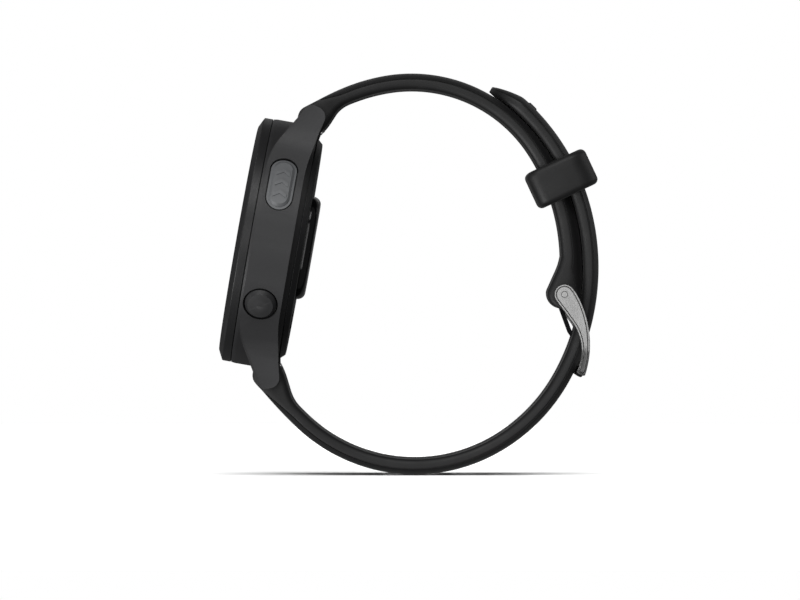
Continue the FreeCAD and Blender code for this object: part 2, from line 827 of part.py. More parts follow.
def end_bar():
    """Cross bar outside the long strap, notched for the tongue."""
    centre = lower_path[3][0]
    upper, lower = end_bar_angles
    corners = [polar(centre, 41.1, upper) + (0.5,), polar(centre, 42.45, upper) + (0.5,),
               polar(centre, 42.45, lower) + (0.5,), polar(centre, 41.1, lower) + (0.5,)]
    bar = side_slab(corners, -frame_inner - 0.1, frame_inner + 0.1)
    notch = side_slab([polar(centre, 41.52, -22.0), polar(centre, 44.0, -22.0),
                       polar(centre, 44.0, -30.0), polar(centre, 41.52, -30.0)], -1.25, 1.25)
    return bar.cut(notch)


def make_buckle_tongue():
    """Flat tongue: a ring round the pin, then through the band and on to the end bar."""
    x, z = buckle_pin
    centre = lower_path[3][0]
    half = tongue_half
    points = [(x - 0.8, z - 1.3), polar(centre, 37.6, -17.2), polar(centre, 41.8, -21.6),
              polar(centre, 42.2, -26.2)]
    tongue = rod(1.5, -1.0, 1.0, x, z)
    for (ax, az), (bx, bz) in zip(points, points[1:]):
        length = hypot(bx - ax, bz - az)
        across = (-(bz - az) / length * half, (bx - ax) / length * half)
        link = side_slab([(ax + across[0], az + across[1]), (bx + across[0], bz + across[1]),
                          (bx - across[0], bz - across[1]), (ax - across[0], az - across[1])],
                         -1.0, 1.0)
        tongue = tongue.fuse(link).fuse(rod(half, -1.0, 1.0, bx, bz))
    return tongue.cut(rod(pin_shaft + 0.05, -2.0, 2.0, x, z)).removeSplitter()


def make_buckle_pin():
    x, z = buckle_pin
    return rod(pin_shaft - 0.01, -frame_outer + 0.02, frame_outer - 0.02, x, z)


# ---------------------------------------------------------------- spring bars


def make_bar_tube(side):
    x, z = bar_place(side)
    shell = tube(0.68, bar_radius, -9.6, 9.6, x, z)
    slot = Part.makeBox(3.0, 2 * 0.55 + release_travel + 0.1, 1.1, V(0, lever_place - 0.55, -0.55))
    slot.rotate(V(0, 0, 0), V(0, 1, 0), -lever_angle(side))
    slot.translate(V(x, 0, z))
    return shell.cut(slot)


def make_bar_fixed_pin(side):
    x, z = bar_place(side)
    return rod(0.66, 0.0, 9.6, x, z).fuse(rod(pin_radius, 9.6, pin_reach, x, z)).removeSplitter()


def make_bar_release_pin(side):
    """Sliding pin with the lever that draws it out of the lug."""
    x, z = bar_place(side)
    pin = rod(0.65, -9.6, -5.6, x, z).fuse(rod(pin_radius, -pin_reach, -9.6, x, z))
    angle = lever_angle(side)
    direction = V(cos(radians(angle)), 0, sin(radians(angle)))
    lever = Part.makeCylinder(0.42, 2.5, V(x, lever_place, z), direction)
    knob = Part.makeCylinder(0.6, 0.5, V(x, lever_place, z) + direction * 2.4, direction)
    return joined([pin, lever, knob])


def make_bar_spring(side):
    """Coil between the two pins inside the tube."""
    x, z = bar_place(side)
    low = -5.45
    high = -0.15
    turns = 9
    wire_radius = 0.1
    mean_radius = 0.5
    helix = Part.makeHelix((high - low) / turns, high - low, mean_radius)
    section = Part.Wire([Part.makeCircle(wire_radius, V(mean_radius, 0, 0), V(0, 1, 0))])
    coil = Part.Wire(helix).makePipeShell([section], True, False)
    coil.rotate(V(0, 0, 0), V(1, 0, 0), -90)
    coil.translate(V(x, low, z))
    return coil


# ---------------------------------------------------------------- the whole watch


def make_parts():
    """All pieces in object axes, by node name."""
    watch = {
        "lens_glass": make_lens_glass(),
        "lens_gasket": make_lens_gasket(),
        "bezel": make_bezel(),
        "display_panel": make_display_panel(),
        "display_flex": make_display_flex(),
        "inner_frame": make_inner_frame(),
        "housing_body": make_housing_body(),
        "main_board": make_main_board(),
        "shield_can": make_shield_can(),
        "battery": make_battery(),
        "antenna_strip": make_antenna_strip(),
        "vibration_motor": make_vibration_motor(),
        "sounder": make_sounder(),
        "key_switches": make_key_switches(),
        "rear_gasket": make_rear_gasket(),
        "rear_cover": make_rear_cover(),
        "rear_screws": make_rear_screws(),
        "sensor_window": make_sensor_window(),
        "sensor_board": make_sensor_board(),
        "sensor_emitters": make_sensor_emitters(),
        "charge_block": make_charge_block(),
        "charge_contacts": make_charge_contacts()}
    for name in key_angles:
        watch[name + "_key"] = make_key(name)
        watch[name + "_key_seal"] = make_key_seal(name)
        watch[name + "_key_clip"] = make_key_clip(name)
    parts = {name: place_watch(shape) for name, shape in watch.items()}
    parts["buckle_strap"] = make_buckle_strap()
    parts["hole_strap"] = make_hole_strap()
    parts["keeper_loop"] = make_keeper()
    parts["buckle_frame"] = make_buckle_frame()
    parts["buckle_tongue"] = make_buckle_tongue()
    parts["buckle_pin"] = make_buckle_pin()
    for end, side in (("upper", 1), ("lower", -1)):
        parts[end + "_bar_tube"] = make_bar_tube(side)
        parts[end + "_bar_fixed_pin"] = make_bar_fixed_pin(side)
        parts[end + "_bar_release_pin"] = make_bar_release_pin(side)
        parts[end + "_bar_spring"] = make_bar_spring(side)
    return parts


def object_offset(parts):
    """Shift that puts the middle of the lowest face of the bounding box at the origin."""
    box = Part.makeCompound(list(parts.values())).optimalBoundingBox(False, False)
    return V(-(box.XMin + box.XMax) / 2, -(box.YMin + box.YMax) / 2, -box.ZMin)


def main():
    parts = make_parts()
    offset = object_offset(parts)
    os.makedirs("parts", exist_ok=True)
    for name, shape in parts.items():
        shape.translate(offset)
        shape.exportStep("parts/" + name + ".step")


main()
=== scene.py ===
import json
from math import atan2, cos, degrees, hypot, pi, radians, sin

import bmesh
import bpy
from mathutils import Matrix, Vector


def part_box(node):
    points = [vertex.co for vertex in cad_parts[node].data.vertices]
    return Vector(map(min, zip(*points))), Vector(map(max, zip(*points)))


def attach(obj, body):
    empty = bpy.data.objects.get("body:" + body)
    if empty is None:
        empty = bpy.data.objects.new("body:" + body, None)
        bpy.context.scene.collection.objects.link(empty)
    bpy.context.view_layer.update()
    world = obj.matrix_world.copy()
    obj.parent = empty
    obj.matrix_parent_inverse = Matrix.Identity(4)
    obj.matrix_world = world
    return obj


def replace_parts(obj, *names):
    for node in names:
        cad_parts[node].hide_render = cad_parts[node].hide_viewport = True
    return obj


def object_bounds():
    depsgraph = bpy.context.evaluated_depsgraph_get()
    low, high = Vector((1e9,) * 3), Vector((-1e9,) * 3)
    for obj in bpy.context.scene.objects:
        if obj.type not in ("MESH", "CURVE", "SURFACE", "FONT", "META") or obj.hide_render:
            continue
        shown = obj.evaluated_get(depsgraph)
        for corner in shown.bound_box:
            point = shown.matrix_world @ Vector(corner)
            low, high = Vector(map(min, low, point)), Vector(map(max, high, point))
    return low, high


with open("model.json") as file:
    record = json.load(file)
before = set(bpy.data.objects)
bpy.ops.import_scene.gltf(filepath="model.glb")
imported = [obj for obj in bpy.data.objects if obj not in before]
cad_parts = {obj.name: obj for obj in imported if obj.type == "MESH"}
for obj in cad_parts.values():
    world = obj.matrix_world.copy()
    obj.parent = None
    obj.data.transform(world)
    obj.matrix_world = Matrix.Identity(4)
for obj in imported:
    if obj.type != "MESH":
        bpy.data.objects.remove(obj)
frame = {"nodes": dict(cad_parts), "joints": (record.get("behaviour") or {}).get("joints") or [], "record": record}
cad_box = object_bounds()
nodes = frame["nodes"]

# Black running watch, seen from the side of its start key. The CAD nodes keep their shapes and
# get materials. The soft band is made here: two straps and the keeper loop.
#
# Lengths are in metres in the row frame. The band's driving dimensions are in millimetres in
# the design's own axes, and `place` moves them to the row frame.

MM = 0.001

# ------------------------------------------------------------------ driving dimensions

# watch body: lean in degrees, middle of the front plane, and spring bars as (depth, up)
TILT = 10.0
FRONT = (-29.72, 41.25)
BAR = (9.4, 22.65)
LEVER_Y = -7.6
LEVER_KNOB = (1.77, -2.2)

# blunt strap roots between the lugs, as (depth, up) corners
ROOT_TOE = (6.62, 21.9)
ROOT_BROW = (6.62, 23.75)
ROOT_FOOT = (10.95, 20.35)

# band; angles are in degrees about the arc centres of its path
HALF_WIDTH = 10.0
THICKNESS = 2.8
LONG_THICKNESS = 2.72
SIDE_HEIGHT = 1.7
FLARE_RUN = 1.95
GROOVE = 0.2
INNER_ROUND = 1.1
INNER_REACH = 0.9
CROWN_REACH = 3.5
CROWN_START = 28.0
CROWN_EASE = 1.7
FLAT_DROP = 0.06
OVERLAP_GAP = 0.14
TIP_TAPER = 8.5
TIP_THINNING = 1.66
TIP_CORNER = 7.0
TIP_HALF_WIDTH = 3.2
RIB_ANGLE = 11.8
RIB_HALF_WIDTH = 6.6
RIB_HEIGHT = 0.2
UPPER_PATH = dict(start=(-15.73, 65.21), angle=120.7, turn=-1,
                  arcs=((34.07, 20.57), (27.17, 67.35), (37.62, 31.0)))
LOWER_PATH = dict(start=(-25.37, 14.63), angle=-140.91, turn=1,
                  arcs=((68.88, 6.99), (29.82, 75.5), (32.07, 29.33), (40.88, 49.24), (37.96, 37.0)))
HOLE_PITCH = 6.0
HOLE_LENGTH = 4.5
HOLE_WIDTH = 2.4
HOLE_ANGLE = -19.06
HOLES = range(-7, 6)
OVERLAP_ARC = 3

# buckle end and keeper
BUCKLE_PIN = (26.96, 31.45)
KNUCKLE = (BUCKLE_PIN[0] - 0.15, BUCKLE_PIN[1] + 0.2)
KNUCKLE_RADIUS = 2.75
TONGUE_GAP = 1.35
OVERLAP_CENTRE = (-8.0, 36.5)
KEEPER_ANGLE = 25.0
KEEPER_PLACE = 23.6
KEEPER_RADIUS = 37.75
KEEPER_LENGTH = 6.65
KEEPER_HEIGHT = 11.25
KEEPER_HALF_WIDTH = 12.1
KEEPER_SPACE = 7.2
KEEPER_SIDE = 1.75
KEEPER_CORNERS = (3.3, 2.1, 2.1, 3.3)
KEEPER_INNER_CORNER = 0.8
FRAME_INNER = 10.35
FRAME_OUTER = 11.85
ARM_BOSS = 1.8
ARM_BEND = 21.9
ARM_LEAN = 0.45
PIN_HEAD = 0.52
BAR_ENDS = (-24.5, -26.9)
BAR_REACH = (41.12, 42.4)
BAR_ROUND = 0.45
BAR_NOTCH = 0.9

SHARP_EDGE = radians(32)

pivot = next(j for j in frame["joints"] if j["name"] == "buckle_swing")["pos_m"]
SHIFT = (pivot[0] / MM - BUCKLE_PIN[0], pivot[1] / MM, pivot[2] / MM - BUCKLE_PIN[1])


def place(x, y, z):
    """Row-frame point, in metres, of a design point in millimetres."""
    return Vector(((x + SHIFT[0]) * MM, (y + SHIFT[1]) * MM, (z + SHIFT[2]) * MM))


def place_at(point, across):
    """Row-frame point of a design (x, z) point at a distance across the band."""
    return place(point[0], across, point[1])


def watch_point(depth, up):
    """Design (x, z) point of a place on the leaning watch body."""
    lean = radians(TILT)
    return (FRONT[0] + depth * cos(lean) + up * sin(lean),
            FRONT[1] - depth * sin(lean) + up * cos(lean))


def polar(centre, radius, angle):
    """Point at a radius and an angle in degrees from a centre."""
    return (centre[0] + radius * cos(radians(angle)), centre[1] + radius * sin(radians(angle)))


# ------------------------------------------------------------------ materials


class Nodes:
    """Small helper for one node tree."""

    def __init__(self, material):
        material.use_nodes = True
        self.tree = material.node_tree
        self.shader = self.tree.nodes["Principled BSDF"]
        self.coords = self.add("ShaderNodeTexCoord").outputs["Object"]

    def add(self, kind, **inputs):
        """New node; keyword names are its input names."""
        node = self.tree.nodes.new(kind)
        for name, value in inputs.items():
            node.inputs[name].default_value = value
        return node

    def link(self, source, target):
        self.tree.links.new(source, target)

    def noise(self, size, detail=3.0, stretch=None):
        """Noise whose features are about `size` metres across."""
        vector = self.coords
        if stretch:
            mapping = self.add("ShaderNodeMapping")
            mapping.inputs["Scale"].default_value = stretch
            self.link(vector, mapping.inputs["Vector"])
            vector = mapping.outputs["Vector"]
        node = self.add("ShaderNodeTexNoise", Scale=1.0 / size, Detail=detail)
        self.link(vector, node.inputs["Vector"])
        return node.outputs["Fac"]

    def range(self, source, low, high, start=0.3, end=0.7):
        """Value that goes from low to high as source goes from start to end."""
        node = self.add("ShaderNodeMapRange")
        node.inputs["From Min"].default_value = start
        node.inputs["From Max"].default_value = end
        node.inputs["To Min"].default_value = low
        node.inputs["To Max"].default_value = high
        self.link(source, node.inputs["Value"])
        return node.outputs["Result"]

    def tint(self, source, colour, low, high):
        """Colour that goes from low to high times `colour` as source goes from 0.3 to 0.7."""
        ramp = self.add("ShaderNodeValToRGB")
        ramp.color_ramp.elements[0].position = 0.3
        ramp.color_ramp.elements[1].position = 0.7
        ramp.color_ramp.elements[0].color = [min(1.0, c * low) for c in colour[:3]] + [1.0]
        ramp.color_ramp.elements[1].color = [min(1.0, c * high) for c in colour[:3]] + [1.0]
        self.link(source, ramp.inputs["Fac"])
        return ramp.outputs["Color"]

    def worn(self, colour, paler, start, end):
        """Mixes `colour` towards `paler` on sharp outer edges."""
        edge = self.range(self.add("ShaderNodeNewGeometry").outputs["Pointiness"], 0.0, 1.0, start, end)
        mix = self.add("ShaderNodeMix")
        mix.data_type = "RGBA"
        self.link(edge, mix.inputs["Factor"])
        self.link(colour, mix.inputs["A"])
        mix.inputs["B"].default_value = list(paler) + [1.0]
        return mix.outputs["Result"]

    def bump(self, layers):
        """Stacks (height source, distance in metres) layers into the shader's normal."""
        normal = None
        for height, distance in layers:
            node = self.add("ShaderNodeBump", Strength=1.0, Distance=distance)
            self.link(height, node.inputs["Height"])
            if normal is not None:
                self.link(normal, node.inputs["Normal"])
            normal = node.outputs["Normal"]
        self.link(normal, self.shader.inputs["Normal"])


EDGE_RANGE = (0.52, 0.62)


def moulded(name, colour, roughness, grain=0.00022, depth=0.000006, edge=1.6):
    """Moulded plastic or rubber: fine grain, uneven gloss, faint cloudiness and paler edges."""
    material = bpy.data.materials.new(name)
    n = Nodes(material)
    fine = n.noise(grain, 2.0)
    broad = n.noise(0.006, 4.0)
    colour_out = n.worn(n.tint(broad, colour, 0.92, 1.08), [c * edge for c in colour], *EDGE_RANGE)
    n.link(colour_out, n.shader.inputs["Base Color"])
    n.link(n.range(fine, roughness - 0.06, roughness + 0.06), n.shader.inputs["Roughness"])
    n.bump([(broad, depth * 1.5), (fine, depth)])
    return material


def silicone(name, colour, roughness):
    """Matte silicone: very fine skin, faint moulding waviness, a soft bloom at grazing angles."""
    material = bpy.data.materials.new(name)
    n = Nodes(material)
    skin = n.noise(0.00012, 2.0)
    waves = n.noise(0.004, 2.0)
    dust = n.noise(0.0009, 8.0)
    colour_out = n.worn(n.tint(dust, colour, 0.94, 1.1), [c * 1.5 for c in colour], *EDGE_RANGE)
    n.link(colour_out, n.shader.inputs["Base Color"])
    n.link(n.range(waves, roughness - 0.05, roughness + 0.06), n.shader.inputs["Roughness"])
    n.shader.inputs["Sheen Weight"].default_value = 0.08
    n.shader.inputs["Sheen Roughness"].default_value = 0.4
    n.bump([(waves, 0.000012), (skin, 0.000003)])
    return material


def metal(name, colour, roughness, stretch=(1.0, 1.0, 14.0), size=0.002, depth=0.0000015):
    """Brushed metal: long fine scratches along one direction."""
    material = bpy.data.materials.new(name)
    n = Nodes(material)
    lines = n.noise(size, 3.0, stretch=stretch)
    spots = n.noise(0.0025, 5.0)
    n.link(n.tint(spots, colour, 0.93, 1.04), n.shader.inputs["Base Color"])
    n.shader.inputs["Metallic"].default_value = 1.0
    n.link(n.range(lines, roughness - 0.06, roughness + 0.06), n.shader.inputs["Roughness"])
    n.bump([(lines, depth)])
    return material


def glossy(name, colour, roughness=0.06, coat=0.0):
    """Polished dark plastic: fine polishing haze and a few wipe marks in the gloss."""
    material = bpy.data.materials.new(name)
    n = Nodes(material)
    haze = n.noise(0.003, 6.0)
    wipe = n.noise(0.004, 3.0, stretch=(1.0, 6.0, 1.0))
    n.link(n.tint(haze, colour, 0.9, 1.1), n.shader.inputs["Base Color"])
    n.link(n.range(wipe, roughness * 0.6, roughness * 1.8), n.shader.inputs["Roughness"])
    n.shader.inputs["Coat Weight"].default_value = coat
    n.shader.inputs["Coat Roughness"].default_value = 0.03
    n.bump([(haze, 0.000002)])
    return material


def lens_material():
    """Clear glass with a faint haze of fingerprints in its gloss."""
    material = bpy.data.materials.new("lens")
    n = Nodes(material)
    haze = n.noise(0.006, 4.0)
    n.link(n.tint(haze, (0.97, 0.97, 0.97), 0.99, 1.0), n.shader.inputs["Base Color"])
    n.link(n.range(n.noise(0.0015, 6.0), 0.012, 0.03), n.shader.inputs["Roughness"])
    n.bump([(haze, 0.000001)])
    n.shader.inputs["Transmission Weight"].default_value = 1.0
    n.shader.inputs["IOR"].default_value = 1.5
    return material


def display_material():
    """Display when off: grey-green active disc inside a black printed border."""
    active_radius = 0.0153
    border_blur = 0.00005
    material = bpy.data.materials.new("display")
    n = Nodes(material)
    low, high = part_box("display_panel")
    shifted = n.add("ShaderNodeVectorMath")
    shifted.operation = "SUBTRACT"
    shifted.inputs[1].default_value = (low + high) / 2
    n.link(n.coords, shifted.inputs[0])
    length = n.add("ShaderNodeVectorMath")
    length.operation = "LENGTH"
    n.link(shifted.outputs["Vector"], length.inputs[0])
    mask = n.range(length.outputs["Value"], 1.0, 0.0, active_radius - border_blur, active_radius)
    cells = n.noise(0.00013, 1.0)
    mix = n.add("ShaderNodeMix")
    mix.data_type = "RGBA"
    n.link(mask, mix.inputs["Factor"])
    mix.inputs["A"].default_value = (0.004, 0.004, 0.0045, 1.0)
    n.link(n.tint(cells, (0.035, 0.038, 0.034), 0.85, 1.15), mix.inputs["B"])
    n.link(mix.outputs["Result"], n.shader.inputs["Base Color"])
    n.shader.inputs["Roughness"].default_value = 0.22
    return material


finishes = {
    "lens": lens_material(),
    "bezel": moulded("bezel", (0.018, 0.018, 0.019), 0.40, grain=0.0003, depth=0.000004),
    "housing": moulded("housing", (0.026, 0.026, 0.0274), 0.46, grain=0.0002, depth=0.000008),
    "rear": moulded("rear", (0.013, 0.013, 0.014), 0.46),
    "start_key": moulded("start_key", (0.16, 0.165, 0.172), 0.46, grain=0.00018, depth=0.000004, edge=1.2),
    "round_key": moulded("round_key", (0.026, 0.026, 0.0272), 0.52, grain=0.00025, depth=0.000003),
    "sensor_window": glossy("sensor_window", (0.008, 0.008, 0.009), 0.12, coat=0.3),
    "band": silicone("band", (0.010, 0.010, 0.0105), 0.52),
    "buckle": metal("buckle", (0.46, 0.46, 0.457), 0.34, stretch=(8.0, 1.0, 1.0),
                    size=0.0005, depth=0.0000008),
    "steel": metal("steel", (0.6, 0.6, 0.6), 0.28),
    "screw": metal("screw", (0.13, 0.13, 0.14), 0.35),
    # near-black steel for the tongue and the end bar: painted shade on bright steel that sits in shadow
    "shade_dark_steel": metal("shade_dark_steel", (0.014, 0.014, 0.015), 0.42),
    "seal": moulded("seal", (0.02, 0.02, 0.02), 0.6),
    "display": display_material(),
    "frame_plastic": moulded("frame_plastic", (0.08, 0.08, 0.08), 0.5),
    "board": moulded("board", (0.01, 0.09, 0.05), 0.4, grain=0.0008),
    "shield": metal("shield", (0.62, 0.62, 0.6), 0.3),
    "battery": metal("battery", (0.5, 0.5, 0.52), 0.4),
    "flex": moulded("flex", (0.4, 0.2, 0.05), 0.35),
    "contact": metal("contact", (0.78, 0.58, 0.26), 0.22),
    "emitter": glossy("emitter", (0.3, 0.45, 0.3), 0.1),
}

# The tongue gets the near-black steel of the end bar, whatever slot the CAD gives it: painted shade on steel that
# sits in shadow.
slot_of = {part["node"]: part["material_slot"] for part in frame["record"]["subparts"]}
for name, node in nodes.items():
    for slot in node.material_slots:
        slot.material = finishes["shade_dark_steel" if name == "buckle_tongue" else slot_of[name]]


# ------------------------------------------------------------------ band paths


def band_path(start, angle, arcs, turn):
    """Tangent arcs of the outer surface: (centre, radius, start angle, end angle) for each."""
    path = []
    point = start
    for radius, sweep in arcs:
        centre = polar(point, -radius, angle)
        end = angle + turn * sweep
        path.append((centre, radius, angle, end))
        point = polar(centre, radius, end)
        angle = end
    return path


upper_path = band_path(**UPPER_PATH)
lower_path = band_path(**LOWER_PATH)


def path_stations(path, thickness, spacing=0.6):
    """(outer point, inner point, distance along) down the path, about `spacing` mm apart."""
    stations = []
    along = 0.0
    for centre, radius, start, end in path:
        length = radius * radians(abs(end - start))
        count = max(2, round(length / spacing))
        for i in range(count + (path[-1][0] is centre)):
            angle = start + (end - start) * i / count
            stations.append((polar(centre, radius, angle), polar(centre, radius - thickness, angle),
                             along + length * i / count))
        along += length
    return stations


def hole_places(path, origin_arc, angle, thickness):
    """(centre, radius, angle) of each hole, HOLE_PITCH apart along the middle of the band.

    The count starts at an angle on the arc with index `origin_arc`.
    """
    arc_ends = [0.0]
    for _, radius, start, end in path:
        arc_ends.append(arc_ends[-1] + (radius - thickness / 2) * radians(abs(end - start)))
    _, radius, start, _ = path[origin_arc]
    origin = arc_ends[origin_arc] + (radius - thickness / 2) * radians(abs(angle - start))
    marks = []
    for step in HOLES:
        distance = origin + step * HOLE_PITCH
        index = next(i for i in range(len(path)) if distance <= arc_ends[i + 1])
        centre, radius, start, end = path[index]
        turned = degrees((distance - arc_ends[index]) / (radius - thickness / 2))
        marks.append((centre, radius, start + (turned if end > start else -turned)))
    return marks


# ------------------------------------------------------------------ mesh helpers


def shade(bm):
    """Smooth faces, with hard lines where the surface turns by more than SHARP_EDGE."""
    for edge in bm.edges:
        edge.smooth = not (len(edge.link_faces) == 2 and edge.calc_face_angle(0.0) > SHARP_EDGE)
    for face in bm.faces:
        face.smooth = True


def mesh_object(name, bm):
    """Object made of a bmesh, which is used up."""
    mesh = bpy.data.meshes.new(name)
    bmesh.ops.recalc_face_normals(bm, faces=bm.faces)
    shade(bm)
    bm.to_mesh(mesh)
    bm.free()
    obj = bpy.data.objects.new(name, mesh)
    bpy.context.scene.collection.objects.link(obj)
    return obj


def loft(bm, rings, capped=True):
    """Quads between successive rings of points, with a face over each end if `capped`."""
    rows = [[bm.verts.new(point) for point in ring] for ring in rings]
    count = len(rows[0])
    for first, second in zip(rows, rows[1:]):
        for i in range(count):
            j = (i + 1) % count
            bm.faces.new((first[i], first[j], second[j], second[i]))
    if capped:
        bm.faces.new(rows[0])
        bm.faces.new(rows[-1])
    return rows


def arc_points(centre, radius, start, end, count):
    """`count` points along an arc, both ends included."""
    return [polar(centre, radius, start + (end - start) * i / (count - 1)) for i in range(count)]


def circle(centre, radius, across, count):
    """Ring of row-frame points about an axis that runs across the band."""
    return [place_at(polar(centre, radius, 360 * i / count), across) for i in range(count)]


# ------------------------------------------------------------------ strap section


def section(thickness, side, crown, half=HALF_WIDTH):
    """Half section as (across, height) from the middle of the inner face to the middle of the top.

    `side` is the height of the crease, and `crown` is 1 for the full crown and 0 for a flat top.
    The inner edge is rolled, the side wall ends in a fine groove, and an arc rises above it.
    """
    wall = half - 0.06
    soft = min(INNER_ROUND, side * 0.65)
    reach = INNER_REACH * soft / INNER_ROUND
    points = [(0.0, 0.0), (half * 0.5, 0.0), (half - 1.6, 0.0)]
    points += [(half - 0.04 - reach * (1 - sin(radians(15 * i))), soft * (1 - cos(radians(15 * i))))
               for i in range(7)]
    groove = GROOVE * min(1.0, 2.5 * crown)
    points += [(half - 0.02, (side + soft) / 2), (half - 0.03, side - 0.12), (wall, side - 0.06),
               (wall - groove, side + 0.01), (wall - groove, side + 0.01 + 0.07 * crown)]
    shoulder = side + 0.02 + 0.16 * crown
    rise = thickness - shoulder
    first = radians(CROWN_START)
    for i in range(11):
        t = first + (pi / 2 - first) * i / 10
        across = half - 0.07 - (0.1 + CROWN_REACH * crown) * (1 - cos(t) / cos(first))
        points.append((across, shoulder + rise * (sin(t) - sin(first)) / (1 - sin(first))))
    points += [(half * 0.3, thickness), (0.0, thickness)]
    return points


def section_ring(outer, inner, side, crown, half=HALF_WIDTH):
    """Closed ring of row-frame points for one station."""
    thickness = hypot(outer[0] - inner[0], outer[1] - inner[1])
    direction = ((outer[0] - inner[0]) / thickness, (outer[1] - inner[1]) / thickness)
    points = section(thickness, side, crown, half)

    def row_point(across, height):
        return place(inner[0] + direction[0] * height, across, inner[1] + direction[1] * height)

    near = [row_point(-across, height) for across, height in points]
    far = [row_point(across, height) for across, height in points[1:-1]]
    return near + far[::-1]


def smooth_step(value):
    """0 below 0, 1 above 1 and an even S between them."""
    value = max(0.0, min(1.0, value))
    return value * value * (3 - 2 * value)


def rounded_line(corners, trims, count):
    """`count` points along an open line of (x, z) corners.

    Every corner but the first and last is rounded, from `trim` before it to `trim` after it.
    """
    points = [corners[0]]
    for index in range(1, len(corners) - 1):
        before, corner, after = corners[index - 1], corners[index], corners[index + 1]
        a = Vector((before[0] - corner[0], before[1] - corner[1])).normalized()
        b = Vector((after[0] - corner[0], after[1] - corner[1])).normalized()
        trim = trims[index - 1]
        for i in range(7):
            t = i / 6
            p = Vector(corner) + a * trim * (1 - t) ** 2 + b * trim * t ** 2
            points.append((p.x, p.y))
    points.append(corners[-1])
    return resample(points, count)


def resample(points, count):
    """`count` points evenly spaced along a line."""
    lengths = [0.0]
    for p, q in zip(points, points[1:]):
        lengths.append(lengths[-1] + hypot(q[0] - p[0], q[1] - p[1]))
    result = []
    segment = 0
    for i in range(count):
        goal = lengths[-1] * i / (count - 1)
        while segment < len(points) - 2 and lengths[segment + 1] < goal:
            segment += 1
        span = lengths[segment + 1] - lengths[segment]
        t = (goal - lengths[segment]) / span if span > 0 else 0.0
        p, q = points[segment], points[segment + 1]
        result.append((p[0] + (q[0] - p[0]) * t, p[1] + (q[1] - p[1]) * t))
    return result


def cut(piece, cutters):
    """Boolean difference with each cutter, applied to the mesh."""
    for cutter in cutters:
        modifier = piece.modifiers.new("cut", "BOOLEAN")
        modifier.operation = "DIFFERENCE"
        modifier.solver = "EXACT"
        modifier.object = cutter
    depsgraph = bpy.context.evaluated_depsgraph_get()
    mesh = bpy.data.meshes.new_from_object(piece.evaluated_get(depsgraph))
    piece.modifiers.clear()
    piece.data = mesh
    for cutter in cutters:
        bpy.data.objects.remove(cutter)
    bm = bmesh.new()
    bm.from_mesh(mesh)
    bmesh.ops.remove_doubles(bm, verts=bm.verts, dist=0.000005)
    shade(bm)
    bm.to_mesh(mesh)
    bm.free()


# ------------------------------------------------------------------ straps


def strap_rings(stations):
    """Rings for (outer, inner, crown drop, crown, half width) stations."""
    rings = []
    for outer, inner, drop, crown, half in stations:
        thickness = hypot(outer[0] - inner[0], outer[1] - inner[1])
        rings.append(section_ring(outer, inner, thickness - min(drop, thickness * 0.45), crown, half))
    return rings


def root_pairs(side_sign, path, thickness, flare_angle, heel, count=26):
    """Matching outer and inner points from the blunt end by the watch to the flare angle."""
    centre, radius, start, _ = path[0]
    toe, brow, rear, foot = [watch_point(depth, side_sign * up)
                             for depth, up in (ROOT_TOE, ROOT_BROW, heel, ROOT_FOOT)]
    flare = polar(centre, radius - thickness, flare_angle)
    back = degrees(radians(flare_angle) + side_sign * pi / 2)
    bend = polar(flare, FLARE_RUN, back)
    along = arc_points(centre, radius, start, flare_angle, 6)
    outer = rounded_line([toe, brow] + along, [1.1] + [0.2] * 5, count)
    inner = rounded_line([foot, rear, bend, flare], [1.2, 1.7], count)
    return list(zip(outer, inner))


def distance_past(point, path):
    """How far a point is past the start of the path, in mm along the first arc."""
    centre, radius, start, end = path[0]
    angle = degrees(atan2(point[1] - centre[1], point[0] - centre[0]))
    turned = (angle - start + 180) % 360 - 180
    return radius * radians(turned if end > start else -turned)


def crown_amount(distance, run):
    """How much of its full height the crown has at a distance down the band."""
    return 1.0 - (1.0 - max(0.0, min(1.0, distance / run))) ** CROWN_EASE


def band_stations(side_sign, path, thickness, flare_angle, heel, crease_run):
    """(outer, inner, crown drop, crown, half width) stations from the root to the path's end."""
    places = [(outer, inner, distance_past(outer, path))
              for outer, inner in root_pairs(side_sign, path, thickness, flare_angle, heel)]
    flare_distance = distance_past(polar(path[0][0], path[0][1], flare_angle), path)
    places += [station for station in path_stations(path, thickness)
               if station[2] > flare_distance + 0.4]
    full_drop = thickness - SIDE_HEIGHT
    stations = []
    for outer, inner, distance in places:
        crown = crown_amount(distance, crease_run)
        stations.append((outer, inner, FLAT_DROP + (full_drop - FLAT_DROP) * crown, crown, HALF_WIDTH))
    return stations


def lever_notch(side_sign):
    """Box in which the quick-release lever slides, open to the wrist side of the root."""
    x, z = watch_point(BAR[0], side_sign * BAR[1])
    knob = watch_point(BAR[0] + LEVER_KNOB[0], side_sign * (BAR[1] + LEVER_KNOB[1]))
    angle = atan2(knob[1] - z, knob[0] - x)
    half = 0.95
    corners = [(-0.9, -half), (6.0, -half), (6.0, half), (-0.9, half)]
    outline = [(x + a * cos(angle) - b * sin(angle), z + a * sin(angle) + b * cos(angle))
               for a, b in corners]
    bm = bmesh.new()
    loft(bm, [[place_at(point, y) for point in outline] for y in (LEVER_Y - 0.8, LEVER_Y + 2.5)])
    bmesh.ops.recalc_face_normals(bm, faces=bm.faces)
    bmesh.ops.bevel(bm, geom=bm.edges[:], offset=0.25 * MM, segments=3, affect="EDGES")
    return mesh_object("notch", bm)


